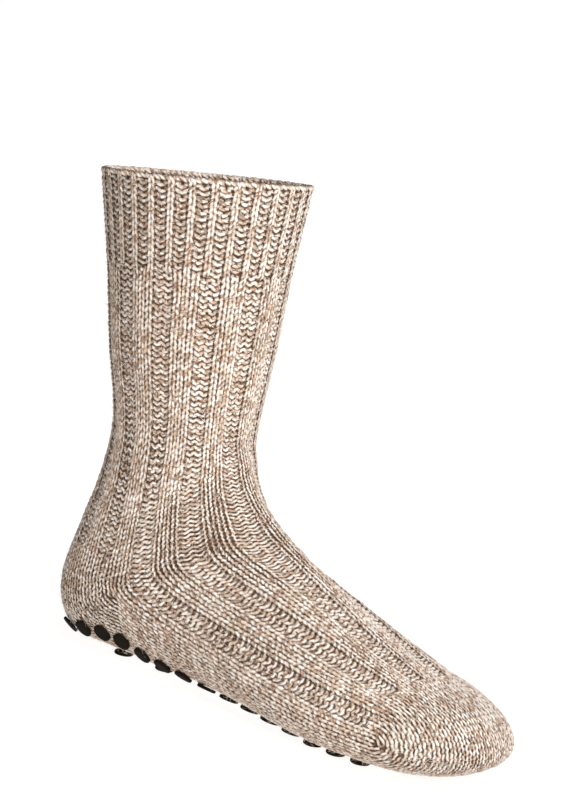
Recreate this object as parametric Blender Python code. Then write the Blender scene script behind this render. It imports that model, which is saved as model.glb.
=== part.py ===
"""Knitted slipper sock with round rubber grip dots, standing on its sole.

Metres, +Z up, +X to the toe. The floor is z = 0 and the sock is symmetric
about the XZ plane. The sock is one hollow knitted wall, worked from the
collar down, and its shape is stated by courses: leg courses go all round,
the heel and the toe are turned pockets that fan about the sides of the foot.
"""
import math

import bpy
import bmesh
from mathutils import Matrix, Vector

# Lengths and heights of the worn sock
FOOT_LENGTH = 0.264
BALL_WIDTH = 0.101
INSTEP_HEIGHT = 0.082
SHAFT_HEIGHT = 0.136
COLLAR_DEPTH = 0.108
COLLAR_WIDTH = 0.105
SHAFT_LEAN = math.radians(7.0)
ANKLE_ALONG = 0.197
ANKLE_HEIGHT = 0.108

# The knitted wall
WALL = 0.0019
RIB_RISE = 0.0013
STITCHES = 60
RIB_REPEAT = 5
RIB_KNIT = 3

# Courses, counted from the collar
CUFF_COURSES = 15
LEG_COURSES = 54
HEEL_COURSES = 26
FOOT_COURSES = 46
TOE_COURSES = 28
PLAIN_BACK_COURSES = 6
PLAIN_TOE_COURSES = 2

# Grip dots
DOT_DIAMETER = 0.0095
DOT_HEIGHT = 0.0012
DOT_CHAMFER = 0.0003
DOT_SIDES = 12
DOT_FIRST = 0.076
DOT_LAST = 0.790
LEVEL_DOT_TILT = math.radians(10.0)
SEAT_GAP = 0.0003
FLOOR_REACH = 0.0002
SOLE_LEVEL = DOT_HEIGHT + SEAT_GAP

HEEL_START = CUFF_COURSES + LEG_COURSES
TOE_START = HEEL_START + FOOT_COURSES
SOLE_START = HEEL_START + HEEL_COURSES
TOE_TURN = SOLE_START + FOOT_COURSES
ROUND_COURSES = TOE_TURN + TOE_COURSES + TOE_START
QUARTER = STITCHES // 4
HALF = STITCHES // 2

# Leg sections: course, rise above the ankle as a share of the shaft,
# depth and width as shares of the collar's
LEG_SECTIONS = (
    {"course": 0.0, "rise": 1.00, "depth": 1.000, "width": 1.000},
    {"course": 15.0, "rise": 0.670, "depth": 0.880, "width": 0.876},
    {"course": 28.0, "rise": 0.385, "depth": 0.800, "width": 0.790},
    {"course": 43.0, "rise": 0.080, "depth": 0.714, "width": 0.652},
)

# The outline of heel, sole, toe and instep on the middle plane: course, then
# the place along the foot length and the height as a share of the instep's
OUTLINE = (
    {"course": 51.0, "along": 0.036, "up": 1.045},
    {"course": 59.0, "along": 0.016, "up": 0.745},
    {"course": 69.0, "along": 0.000, "up": 0.400},
    {"course": 74.0, "along": 0.008, "up": 0.205},
    {"course": 78.5, "along": 0.038, "up": 0.070},
    {"course": 82.5, "along": 0.084, "up": 0.008},
    {"course": 85.5, "along": 0.113, "up": 0.000},
    {"course": 86.5, "along": 0.124, "up": 0.000},
    {"course": 93.0, "along": 0.215, "up": 0.000},
    {"course": 94.0, "along": 0.229, "up": 0.000},
    {"course": 98.0, "along": 0.284, "up": 0.005},
    {"course": 105.0, "along": 0.385, "up": 0.027},
    {"course": 115.0, "along": 0.530, "up": 0.022},
    {"course": 123.0, "along": 0.638, "up": 0.002},
    {"course": 125.5, "along": 0.670, "up": 0.000},
    {"course": 133.0, "along": 0.765, "up": 0.000},
    {"course": 136.5, "along": 0.808, "up": 0.002},
    {"course": 141.0, "along": 0.858, "up": 0.012},
    {"course": 146.0, "along": 0.915, "up": 0.026},
    {"course": 151.0, "along": 0.970, "up": 0.080},
    {"course": 155.0, "along": 0.998, "up": 0.175},
    {"course": 159.0, "along": 0.986, "up": 0.300},
    {"course": 163.5, "along": 0.938, "up": 0.415},
    {"course": 169.0, "along": 0.858, "up": 0.505},
    {"course": 184.0, "along": 0.722, "up": 0.655},
    {"course": 200.0, "along": 0.560, "up": 0.868},
    {"course": 213.0, "along": 0.470, "up": 1.000},
    {"course": 222.0, "along": 0.411, "up": 1.120},
    {"course": 229.0, "along": 0.374, "up": 1.235},
    {"course": 235.0, "along": 0.353, "up": 1.355},
)

# The side of the sock, where the fans of heel and toe turn: course, place
# along, height, half width as a share of the ball's, and how square the
# section is above and below the side
SIDE_SECTIONS = (
    {"course": 51.0, "along": 0.196, "up": 1.030, "half": 0.330, "top": 2.0, "under": 2.0},
    {"course": 58.0, "along": 0.200, "up": 0.790, "half": 0.345, "top": 2.0, "under": 2.1},
    {"course": 64.0, "along": 0.203, "up": 0.590, "half": 0.355, "top": 2.0, "under": 2.25},
    {"course": 69.0, "along": 0.212, "up": 0.440, "half": 0.360, "top": 2.0, "under": 2.45},
    {"course": 76.0, "along": 0.305, "up": 0.360, "half": 0.370, "top": 2.0, "under": 2.9},
    {"course": 86.0, "along": 0.455, "up": 0.300, "half": 0.410, "top": 2.0, "under": 3.0},
    {"course": 97.0, "along": 0.625, "up": 0.255, "half": 0.475, "top": 2.0, "under": 3.1},
    {"course": 104.0, "along": 0.720, "up": 0.232, "half": 0.500, "top": 2.05, "under": 3.1},
    {"course": 110.0, "along": 0.797, "up": 0.220, "half": 0.490, "top": 2.1, "under": 3.0},
    {"course": 115.0, "along": 0.858, "up": 0.215, "half": 0.478, "top": 2.15, "under": 2.9},
)

# Rows of grip dots from heel to ball: how many, and how far the outer ones
# stand in from the sock's side
DOT_ROWS = (
    {"dots": 2, "edge": 0.0085},
    {"dots": 3, "edge": 0.0062},
    {"dots": 4, "edge": 0.0060},
    {"dots": 3, "edge": 0.0062},
    {"dots": 4, "edge": 0.0070},
    {"dots": 3, "edge": 0.0080},
    {"dots": 4, "edge": 0.0095},
    {"dots": 3, "edge": 0.0130},
    {"dots": 4, "edge": 0.0160},
    {"dots": 4, "edge": 0.0175},
    {"dots": 5, "edge": 0.0185},
    {"dots": 4, "edge": 0.0200},
    {"dots": 5, "edge": 0.0215},
    {"dots": 5, "edge": 0.0220},
    {"dots": 4, "edge": 0.0225},
)

# Squareness of the toe pocket seen from above, at its turn
TOE_SQUARENESS = 2.05
HEEL_SQUARENESS = 2.45

# Courses where the solid has a ring of points
CUFF_RINGS = (0.0, 1.2, 8.0, 14.2, 15.8)
LEG_RINGS = (21.0, 28.0, 35.0, 42.0, 47.0, 51.0, 54.5, 58.0, 61.0, 63.5, 66.5, 69.0)
FOOT_RINGS = (71.5, 74.5, 78.0, 82.0, 86.5, 91.5, 97.0, 102.0, 107.0, 111.0, 113.2, 115.0)
HEEL_FAN_STEPS = 12
TOE_FAN_STEPS = 12
STITCHES_TO_LINING_POINT = 2
SECTION_STEPS = 24


def spline(rows, key, at):
    """Value of one column at a course, by a cubic through the table's rows."""
    last = len(rows) - 1
    span = 0
    while span < last - 1 and at > rows[span + 1]["course"]:
        span += 1
    low, high = rows[span], rows[span + 1]
    width = high["course"] - low["course"]

    def slope(index):
        before = rows[max(index - 1, 0)]
        after = rows[min(index + 1, last)]
        return (after[key] - before[key]) / (after["course"] - before["course"])

    t = (at - low["course"]) / width
    return (low[key] * (2 * t ** 3 - 3 * t ** 2 + 1)
            + high[key] * (3 * t ** 2 - 2 * t ** 3)
            + slope(span) * width * (t ** 3 - 2 * t ** 2 + t)
            + slope(span + 1) * width * (t ** 3 - t ** 2))


def shaft_frame(rise):
    """Point on the shaft's axis at a share of its height, and the way forward."""
    axis = Vector((-math.sin(SHAFT_LEAN), 0.0, math.cos(SHAFT_LEAN)))
    forward = Vector((math.cos(SHAFT_LEAN), 0.0, math.sin(SHAFT_LEAN)))
    ankle = Vector((ANKLE_ALONG * FOOT_LENGTH, 0.0, ANKLE_HEIGHT))
    return ankle + axis * (rise * SHAFT_HEIGHT), forward


def outline_table():
    """The whole outline, from the collar's back round the foot to its front."""
    back, front = [], []
    for row in LEG_SECTIONS:
        middle, forward = shaft_frame(row["rise"])
        reach = forward * (0.5 * COLLAR_DEPTH * row["depth"])
        back.append({"course": row["course"], "x": (middle - reach).x, "z": (middle - reach).z})
        front.append({"course": ROUND_COURSES - row["course"],
                      "x": (middle + reach).x, "z": (middle + reach).z})
    foot = [{"course": row["course"], "x": row["along"] * FOOT_LENGTH,
             "z": SOLE_LEVEL + row["up"] * INSTEP_HEIGHT} for row in OUTLINE]
    return back + foot + front[::-1]


def side_table():
    """The side line with its half width and squareness, collar to toe."""
    rows = []
    for row in LEG_SECTIONS:
        middle, _ = shaft_frame(row["rise"])
        rows.append({"course": row["course"], "x": middle.x, "z": middle.z,
                     "half": 0.5 * COLLAR_WIDTH * row["width"], "top": 2.0, "under": 2.0})
    for row in SIDE_SECTIONS:
        rows.append({"course": row["course"], "x": row["along"] * FOOT_LENGTH,
                     "z": SOLE_LEVEL + row["up"] * INSTEP_HEIGHT,
                     "half": row["half"] * BALL_WIDTH,
                     "top": row["top"], "under": row["under"]})
    return rows


OUTLINE_ROWS = outline_table()
SIDE_ROWS = side_table()


def outline_point(course):
    return Vector((spline(OUTLINE_ROWS, "x", course), 0.0, spline(OUTLINE_ROWS, "z", course)))


def side_point(course):
    return Vector((spline(SIDE_ROWS, "x", course), 0.0, spline(SIDE_ROWS, "z", course)))


def half_section(side, edge, half, square, turn):
    """Point on a half section from one side over its middle to the other.

    turn runs from -90 degrees through 0 at the middle to +90 degrees.
    """
    reach = abs(math.cos(turn)) ** (2.0 / square)
    across = math.copysign(abs(math.sin(turn)) ** (2.0 / square), math.sin(turn))
    return side + (edge - side) * reach + Vector((0.0, half * across, 0.0))


def even_turn(turn, side, edge, half, square):
    """The turn that spaces the stitches evenly along a half section."""
    depth = (edge - side).length
    angles = [0.5 * math.pi * index / SECTION_STEPS for index in range(SECTION_STEPS + 1)]
    corners = [Vector((depth * math.cos(a) ** (2.0 / square), half * math.sin(a) ** (2.0 / square)))
               for a in angles[:-1]] + [Vector((0.0, half))]
    lengths = [(after - here).length for here, after in zip(corners, corners[1:])]
    left = abs(turn) / (0.5 * math.pi) * sum(lengths)
    index = 0
    while index < SECTION_STEPS - 1 and left > lengths[index]:
        left -= lengths[index]
        index += 1
    share = min(left / lengths[index], 1.0)
    return math.copysign(angles[index] + share * (angles[index + 1] - angles[index]), turn)


def even_section(side, edge, half, square, turn):
    return half_section(side, edge, half, square, even_turn(turn, side, edge, half, square))


def round_point(course, stitch):
    """Point of a full course; stitch 0 is the front, half way round the back."""
    angle = 2.0 * math.pi * stitch / STITCHES
    angle = math.atan2(math.sin(angle), math.cos(angle))
    side = side_point(course)
    half = spline(SIDE_ROWS, "half", course)
    if abs(angle) <= 0.5 * math.pi:
        edge = outline_point(ROUND_COURSES - course)
        return even_section(side, edge, half, spline(SIDE_ROWS, "top", course), angle)
    behind = course if course <= HEEL_START else course + HEEL_COURSES
    turn = math.copysign(math.pi, angle) - angle
    edge = outline_point(behind)
    return even_section(side, edge, half, spline(SIDE_ROWS, "under", course), turn)


def heel_point(share, turn, section=even_section):
    """Point of the heel's fan: share 0 at the last leg course, 1 at the sole."""
    side = side_point(HEEL_START)
    edge = outline_point(HEEL_START + share * HEEL_COURSES)
    half = spline(SIDE_ROWS, "half", HEEL_START)
    return section(side, edge, half, HEEL_SQUARENESS, turn)


def toe_point(share, turn):
    """Point of the toe's fan: share 0 on the instep, 1 under the sole."""
    side = side_point(TOE_START)
    edge = outline_point(TOE_TURN + (1.0 - share) * TOE_COURSES)
    half = spline(SIDE_ROWS, "half", TOE_START)
    above = spline(SIDE_ROWS, "top", TOE_START)
    below = spline(SIDE_ROWS, "under", TOE_START)
    square = above + (below - above) * share
    square += (TOE_SQUARENESS - 0.5 * (above + below)) * math.sin(math.pi * share)
    return even_section(side, edge, half, square, turn)


def is_purl(course, stitch):
    """True where the stitch lies back between two ribs."""
    place = stitch % STITCHES
    if course <= CUFF_COURSES:
        return place % 2 == 1
    under = QUARTER <= place <= STITCHES - QUARTER
    if under and course > HEEL_START - PLAIN_BACK_COURSES:
        return False
    if course > TOE_START - PLAIN_TOE_COURSES:
        return False
    return (place + RIB_KNIT // 2) % RIB_REPEAT >= RIB_KNIT


def outward(mesh_points, faces):
    """Outward normal at each point, as the mean of the faces round it."""
    sums = [Vector((0.0, 0.0, 0.0)) for _ in mesh_points]
    for face in faces:
        corners = [mesh_points[index] for index in face]
        normal = (corners[1] - corners[0]).cross(corners[-1] - corners[0])
        if len(corners) == 4:
            normal += (corners[3] - corners[2]).cross(corners[1] - corners[2])
        for index in face:
            sums[index] += normal
    return [total.normalized() for total in sums]


def skin(ring_step, stitch_step, fan_step):
    """Points and faces of one skin of the sock, open only at the collar.

    Each point also has its course and stitch, which say how deep it lies.
    """
    points, places, faces = [], [], []

    def add(point, course, stitch):
        points.append(point)
        places.append((course, stitch))
        return len(points) - 1

    stitches = list(range(QUARTER % stitch_step, STITCHES, stitch_step))
    rings = CUFF_RINGS[::ring_step] + LEG_RINGS[ring_step - 1::ring_step]
    sole_side = [s for s in stitches if QUARTER < s < STITCHES - QUARTER]

    def full_ring(course):
        return {s: add(round_point(course, s), course, s) for s in stitches}

    def bridge(upper, lower, order):
        for here, after in zip(order, order[1:]):
            corners = [upper[here], lower[here], lower[after], upper[after]]
            unique = [c for i, c in enumerate(corners) if c not in corners[:i]]
            if len(unique) > 2:
                faces.append(unique)

    around = stitches + [stitches[0]]
    previous = full_ring(rings[0])
    collar = dict(previous)
    for course in rings[1:]:
        ring = full_ring(course)
        bridge(previous, ring, around)
        previous = ring

    # The heel fans from the back of the last leg course to the sole
    back_order = [s for s in stitches if QUARTER <= s <= STITCHES - QUARTER]
    fan = dict(previous)
    steps = HEEL_FAN_STEPS // fan_step
    for step in range(1, steps + 1):
        share = step / steps
        ring = dict(previous)
        for s in sole_side:
            turn = math.pi - 2.0 * math.pi * s / STITCHES
            ring[s] = add(heel_point(share, turn), HEEL_START + 1.0, s)
        bridge(fan, ring, back_order)
        fan = ring

    # Foot courses go all round again, from the instep's front half
    previous = fan
    for course in FOOT_RINGS[ring_step - 1::ring_step]:
        ring = full_ring(course)
        bridge(previous, ring, around)
        previous = ring

    # The toe fans from the instep to the sole, about the same two sides
    front_order = [s - STITCHES for s in stitches if s >= STITCHES - QUARTER]
    front_order += [s for s in stitches if s <= QUARTER]
    fan = {s: previous[s % STITCHES] for s in front_order}
    under = {s: previous[(HALF - s) % STITCHES] for s in front_order}
    steps = TOE_FAN_STEPS // fan_step
    for step in range(1, steps + 1):
        share = step / steps
        if step == steps:
            ring = under
        else:
            ring = {s: fan[s] for s in (front_order[0], front_order[-1])}
            for s in front_order[1:-1]:
                turn = 2.0 * math.pi * s / STITCHES
                ring[s] = add(toe_point(share, turn), TOE_START, s)
        bridge(fan, ring, front_order)
        fan = ring
    return points, places, faces, [collar[s] for s in stitches]


def depth_below_crest(course, stitch):
    return RIB_RISE if is_purl(course, stitch) else 0.0


def material(name, colour, roughness):
    made = bpy.data.materials.new(name)
    made.use_nodes = True
    shader = made.node_tree.nodes["Principled BSDF"]
    shader.inputs["Base Color"].default_value = (*colour, 1.0)
    shader.inputs["Roughness"].default_value = roughness
    shader.inputs["Metallic"].default_value = 0.0
    made.diffuse_color = (*colour, 1.0)
    return made


def add_object(name, bm, made, smooth):
    mesh = bpy.data.meshes.new(name)
    bm.to_mesh(mesh)
    bm.free()
    mesh.materials.append(made)
    if smooth:
        mesh.shade_smooth()
        mesh.set_sharp_from_angle(angle=math.radians(50.0))
    item = bpy.data.objects.new(name, mesh)
    bpy.context.scene.collection.objects.link(item)
    return item


def knitted_sock(made):
    """One hollow wall: a ribbed outer skin, a plain inner one and the rim."""
    outer, places, outer_faces, outer_rim = skin(1, 1, 1)
    normals = outward(outer, outer_faces)
    coarser = STITCHES_TO_LINING_POINT
    inner, _, inner_faces, inner_rim = skin(coarser, coarser, coarser)
    lining_normals = outward(inner, inner_faces)

    bm = bmesh.new()
    outer_verts = []
    for point, normal, (course, stitch) in zip(outer, normals, places):
        depth = depth_below_crest(course, stitch)
        outer_verts.append(bm.verts.new(point - normal * depth))
    inner_verts = []
    for point, normal in zip(inner, lining_normals):
        inner_verts.append(bm.verts.new(point - normal * (WALL + RIB_RISE)))
    for face in outer_faces:
        bm.faces.new([outer_verts[i] for i in face])
    for face in inner_faces:
        bm.faces.new([inner_verts[i] for i in reversed(face)])

    # The collar's rim joins the two skins, two outer stitches to one inner
    count = len(inner_rim)
    for index in range(count):
        near = outer_verts[outer_rim[2 * index]]
        beside = outer_verts[outer_rim[2 * index + 1]]
        far = outer_verts[outer_rim[(2 * index + 2) % len(outer_rim)]]
        inside = inner_verts[inner_rim[index]]
        inside_next = inner_verts[inner_rim[(index + 1) % count]]
        bm.faces.new([near, beside, inside])
        bm.faces.new([beside, far, inside])
        bm.faces.new([far, inside_next, inside])
    bmesh.ops.recalc_face_normals(bm, faces=bm.faces)
    bmesh.ops.triangulate(bm, faces=bm.faces)
    return add_object("knitted_sock", bm, made, True)


def under_point(course, turn):
    """Point of the underside at an outline course, in the heel or the sole."""
    if course < SOLE_START:
        return heel_point((course - HEEL_START) / HEEL_COURSES, turn, half_section)
    beside = course - HEEL_COURSES
    return half_section(side_point(beside), outline_point(course),
                        spline(SIDE_ROWS, "half", beside), spline(SIDE_ROWS, "under", beside), turn)


def halving(low, high, too_low):
    """Where a rising test turns false, between two values."""
    for _ in range(26):
        middle = 0.5 * (low + high)
        if too_low(middle):
            low = middle
        else:
            high = middle
    return 0.5 * (low + high)


def sole_place(x, y):
    """Outline course and turn of the underside's point over a floor place."""
    def turn_at(course):
        return halving(0.0, 0.5 * math.pi, lambda turn: under_point(course, turn).y < y)

    course = halving(HEEL_START + 4.0, float(TOE_TURN),
                     lambda at: under_point(at, turn_at(at)).x < x)
    return course, turn_at(course)


def sole_surface(x, y):
    """Point and outward normal on the underside over a floor place, y >= 0."""
    course, turn = sole_place(x, y)
    along = under_point(course + 0.2, turn) - under_point(course - 0.2, turn)
    across = under_point(course, turn + 0.02) - under_point(course, turn - 0.02)
    return under_point(course, turn), across.cross(along).normalized()


def plan_half_width(x):
    """Half width of the sock over a place along the foot."""
    hinge = side_point(HEEL_START).x
    if x < hinge:
        reach = (hinge - x) / (hinge - outline_point(HEEL_START).x)
        square = HEEL_SQUARENESS
        return spline(SIDE_ROWS, "half", HEEL_START) * (1.0 - reach ** square) ** (1.0 / square)
    course = halving(float(HEEL_START), float(TOE_START), lambda at: side_point(at).x < x)
    return spline(SIDE_ROWS, "half", course)


def dot_mesh():
    """A low round bead of rubber with its flat bottom at z = 0."""
    bm = bmesh.new()
    radius = 0.5 * DOT_DIAMETER
    levels = ((0.0, radius - DOT_CHAMFER), (DOT_CHAMFER, radius), (DOT_HEIGHT, radius))
    loops = []
    for level, reach in levels:
        loop = []
        for side in range(DOT_SIDES):
            angle = 2.0 * math.pi * (side + 0.5) / DOT_SIDES
            loop.append(bm.verts.new((reach * math.cos(angle), reach * math.sin(angle), level)))
        loops.append(loop)
    for lower, upper in zip(loops, loops[1:]):
        for side in range(DOT_SIDES):
            after = (side + 1) % DOT_SIDES
            bm.faces.new((lower[side], lower[after], upper[after], upper[side]))
    bm.faces.new(loops[0][::-1])
    bm.faces.new(loops[-1])
    bmesh.ops.triangulate(bm, faces=bm.faces)
    return bm


def dot_seat(x, y):
    """Where a dot's bottom lies and how it is turned, y >= 0."""
    point, normal = sole_surface(x, y)
    radius = 0.5 * DOT_DIAMETER
    rim = [sole_surface(x + step, y)[0] for step in (-radius, radius)]
    rim.append(sole_surface(x, max(y - radius, 0.0))[0])
    if normal.angle(Vector((0.0, 0.0, -1.0))) > LEVEL_DOT_TILT:
        proud = max([0.0] + [(place - point).dot(normal) for place in rim])
        turn = (-normal).to_track_quat("Z", "Y").to_matrix().to_4x4()
        return Matrix.Translation(point + normal * (proud + SEAT_GAP + DOT_HEIGHT)) @ turn
    level = min(place.z for place in rim + [point]) - SEAT_GAP - DOT_HEIGHT
    return Matrix.Translation((x, y, level if level > FLOOR_REACH else 0.0))


def grip_dots(made):
    """Rows of dots over the heel, arch and ball, none on the toe.

    Each row reaches from edge to edge, so the rows between are staggered.
    """
    mirror = Matrix.Scale(-1.0, 4, (0.0, 1.0, 0.0))
    dots = []
    for index, row in enumerate(DOT_ROWS):
        share = index / (len(DOT_ROWS) - 1)
        x = (DOT_FIRST + (DOT_LAST - DOT_FIRST) * share) * FOOT_LENGTH
        reach = plan_half_width(x) - row["edge"]
        count = row["dots"]
        for place in range(count // 2, count):
            y = reach * (2 * place - count + 1) / (count - 1)
            seat = dot_seat(x, y)
            for seated in ([seat] if y == 0.0 else [seat, mirror @ seat @ mirror]):
                dot = add_object(f"grip_dot_{len(dots) + 1:02d}", dot_mesh(), made, False)
                dot.matrix_world = seated
                dots.append(dot)
    return dots


def main():
    for item in list(bpy.data.objects):
        bpy.data.objects.remove(item)
    wool = material("marled_wool", (0.62, 0.52, 0.42), 0.95)
    rubber = material("grip_rubber", (0.02, 0.02, 0.022), 0.7)
    pieces = [knitted_sock(wool)] + grip_dots(rubber)
    # The origin goes to the middle of the box, on the floor
    places = [(item.matrix_world @ v.co).x for item in pieces for v in item.data.vertices]
    centre = Matrix.Translation((-0.5 * (min(places) + max(places)), 0.0, 0.0))
    for item in pieces:
        item.matrix_world = centre @ item.matrix_world


main()
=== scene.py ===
import math

import bpy
import numpy as np
from mathutils import Matrix, Vector


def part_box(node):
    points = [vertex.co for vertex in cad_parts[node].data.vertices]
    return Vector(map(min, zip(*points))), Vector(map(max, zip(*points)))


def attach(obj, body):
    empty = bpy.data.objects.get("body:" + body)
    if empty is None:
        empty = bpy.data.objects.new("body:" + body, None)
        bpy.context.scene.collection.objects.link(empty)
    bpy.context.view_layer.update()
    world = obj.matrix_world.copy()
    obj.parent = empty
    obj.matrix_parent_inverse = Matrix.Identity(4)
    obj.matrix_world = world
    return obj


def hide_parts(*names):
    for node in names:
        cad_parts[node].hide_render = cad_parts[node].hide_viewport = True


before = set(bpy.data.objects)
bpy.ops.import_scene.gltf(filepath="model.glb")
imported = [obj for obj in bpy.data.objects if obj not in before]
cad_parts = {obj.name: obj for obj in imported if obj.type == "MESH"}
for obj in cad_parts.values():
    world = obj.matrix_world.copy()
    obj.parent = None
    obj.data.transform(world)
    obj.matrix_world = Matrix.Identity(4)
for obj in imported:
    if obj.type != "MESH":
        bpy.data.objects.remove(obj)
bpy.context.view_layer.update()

# Sizes of the knitted wall, as in the solids
FOOT_LENGTH = 0.264
BALL_WIDTH = 0.101
INSTEP_HEIGHT = 0.082
SHAFT_HEIGHT = 0.136
COLLAR_DEPTH = 0.108
COLLAR_WIDTH = 0.105
SHAFT_LEAN = math.radians(7.0)
ANKLE_ALONG = 0.197
ANKLE_HEIGHT = 0.108
RIB_RISE = 0.0013
SOLE_LEVEL = 0.0015
STITCHES = 60
CUFF_COURSES = 15
LEG_COURSES = 54
HEEL_COURSES = 26
FOOT_COURSES = 46
TOE_COURSES = 28
PLAIN_BACK_COURSES = 6
PLAIN_TOE_COURSES = 2
POCKET_TURN = 10
QUARTER = STITCHES / 4
HALF = STITCHES / 2
HEEL_START = CUFF_COURSES + LEG_COURSES
TOE_START = HEEL_START + FOOT_COURSES
SOLE_START = HEEL_START + HEEL_COURSES
TOE_TURN = SOLE_START + FOOT_COURSES
ROUND_COURSES = TOE_TURN + TOE_COURSES + TOE_START
HEEL_SQUARENESS = 2.45
TOE_SQUARENESS = 2.05

# Leg sections: course, rise as a share of the shaft, depth and width as
# shares of the collar's
LEG_SECTIONS = (
    (0.0, 1.00, 1.000, 1.000),
    (15.0, 0.670, 0.880, 0.876),
    (28.0, 0.385, 0.800, 0.790),
    (43.0, 0.080, 0.714, 0.652),
)

# Outline on the middle plane: course, place along the foot, height as a share
# of the instep's
OUTLINE = (
    (51.0, 0.036, 1.045),
    (59.0, 0.016, 0.745),
    (69.0, 0.000, 0.400),
    (74.0, 0.008, 0.205),
    (78.5, 0.038, 0.070),
    (82.5, 0.084, 0.008),
    (85.5, 0.113, 0.000),
    (86.5, 0.124, 0.000),
    (93.0, 0.215, 0.000),
    (94.0, 0.229, 0.000),
    (98.0, 0.284, 0.005),
    (105.0, 0.385, 0.027),
    (115.0, 0.530, 0.022),
    (123.0, 0.638, 0.002),
    (125.5, 0.670, 0.000),
    (133.0, 0.765, 0.000),
    (136.5, 0.808, 0.002),
    (141.0, 0.858, 0.012),
    (146.0, 0.915, 0.026),
    (151.0, 0.970, 0.080),
    (155.0, 0.998, 0.175),
    (159.0, 0.986, 0.300),
    (163.5, 0.938, 0.415),
    (169.0, 0.858, 0.505),
    (184.0, 0.722, 0.655),
    (200.0, 0.560, 0.868),
    (213.0, 0.470, 1.000),
    (222.0, 0.411, 1.120),
    (229.0, 0.374, 1.235),
    (235.0, 0.353, 1.355),
)

# The side line: course, place along, height, half width as a share of the
# ball's, squareness above and below the side
SIDE_SECTIONS = (
    (51.0, 0.196, 1.030, 0.330, 2.0, 2.0),
    (58.0, 0.200, 0.790, 0.345, 2.0, 2.1),
    (64.0, 0.203, 0.590, 0.355, 2.0, 2.25),
    (69.0, 0.212, 0.440, 0.360, 2.0, 2.45),
    (76.0, 0.305, 0.360, 0.370, 2.0, 2.9),
    (86.0, 0.455, 0.300, 0.410, 2.0, 3.0),
    (97.0, 0.625, 0.255, 0.475, 2.0, 3.1),
    (104.0, 0.720, 0.232, 0.500, 2.05, 3.1),
    (110.0, 0.797, 0.220, 0.490, 2.1, 3.0),
    (115.0, 0.858, 0.215, 0.478, 2.15, 2.9),
)


def cubic(courses, values):
    """A function of the course that runs smoothly through a table's column."""
    x = np.array(courses, float)
    y = np.array(values, float)
    before = np.r_[0, np.arange(len(x) - 1)]
    after = np.r_[np.arange(1, len(x)), len(x) - 1]
    slope = (y[after] - y[before]) / (x[after] - x[before])

    def value(at):
        at = np.asarray(at, float)
        i = np.clip(np.searchsorted(x, at, side="left") - 1, 0, len(x) - 2)
        width = x[i + 1] - x[i]
        t = (at - x[i]) / width
        return (y[i] * (2 * t ** 3 - 3 * t ** 2 + 1) + y[i + 1] * (3 * t ** 2 - 2 * t ** 3)
                + slope[i] * width * (t ** 3 - 2 * t ** 2 + t)
                + slope[i + 1] * width * (t ** 3 - t ** 2))

    return value


def sections():
    """Outline and side line of the sock, in the frame's own place."""
    sin, cos = math.sin(SHAFT_LEAN), math.cos(SHAFT_LEAN)
    back, front, side = [], [], []
    for course, rise, depth, width in LEG_SECTIONS:
        x = ANKLE_ALONG * FOOT_LENGTH - sin * rise * SHAFT_HEIGHT
        z = ANKLE_HEIGHT + cos * rise * SHAFT_HEIGHT
        reach = 0.5 * COLLAR_DEPTH * depth
        back.append((course, x - cos * reach, z - sin * reach))
        front.append((ROUND_COURSES - course, x + cos * reach, z + sin * reach))
        side.append((course, x, z, 0.5 * COLLAR_WIDTH * width, 2.0, 2.0))
    foot = [(c, along * FOOT_LENGTH, SOLE_LEVEL + up * INSTEP_HEIGHT) for c, along, up in OUTLINE]
    side += [(c, along * FOOT_LENGTH, SOLE_LEVEL + up * INSTEP_HEIGHT, half * BALL_WIDTH, top, under)
             for c, along, up, half, top, under in SIDE_SECTIONS]
    return back + foot + front[::-1], side


OUTLINE_ROWS, SIDE_ROWS = sections()
OUTLINE_X = cubic([r[0] for r in OUTLINE_ROWS], [r[1] for r in OUTLINE_ROWS])
OUTLINE_Z = cubic([r[0] for r in OUTLINE_ROWS], [r[2] for r in OUTLINE_ROWS])
SIDE_X, SIDE_Z, SIDE_HALF, SIDE_TOP, SIDE_UNDER = (
    cubic([r[0] for r in SIDE_ROWS], [r[k] for r in SIDE_ROWS]) for k in range(1, 6))
# The solids are centred on their box; the wall's own box says by how much
NODE_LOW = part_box("knitted_sock")[0]
BACKMOST = min(OUTLINE_X(0.0), OUTLINE_X(float(HEEL_START)))
SHIFT = NODE_LOW[0] - float(BACKMOST)


def even_turn(turn, depth, half, square):
    """The turn that spaces the stitches evenly along a half section."""
    angles = np.linspace(0.0, 0.5 * np.pi, 33)
    depth, half, square = (np.broadcast_to(v, turn.shape)[..., None] for v in (depth, half, square))
    cos, sin = np.cos(angles), np.sin(angles)
    size = (np.abs(cos) ** square + sin ** square) ** (-1.0 / square)
    length = np.hypot(np.diff(depth * cos * size, axis=-1), np.diff(half * sin * size, axis=-1))
    reached = np.cumsum(length, axis=-1)
    share = np.abs(turn)[..., None] / (0.5 * np.pi) * reached[..., -1:]
    index = np.minimum((reached < share).sum(axis=-1), len(angles) - 2)[..., None]
    end = np.take_along_axis(reached, index, axis=-1)
    step = np.take_along_axis(length, index, axis=-1)
    part = np.clip(1.0 - (end - share) / step, 0.0, 1.0)
    return np.copysign((angles[index] + part * (angles[1] - angles[0]))[..., 0], turn)


def half_section(side_x, side_z, edge_x, edge_z, half, square, turn):
    depth = np.hypot(edge_x - side_x, edge_z - side_z)
    turn = even_turn(np.asarray(turn, float), depth, half, square)
    cos, sin = np.abs(np.cos(turn)), np.sin(turn)
    size = (cos ** square + np.abs(sin) ** square) ** (-1.0 / square)
    return np.stack([side_x + (edge_x - side_x) * cos * size + SHIFT, half * sin * size,
                     side_z + (edge_z - side_z) * cos * size], axis=-1)


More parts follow.
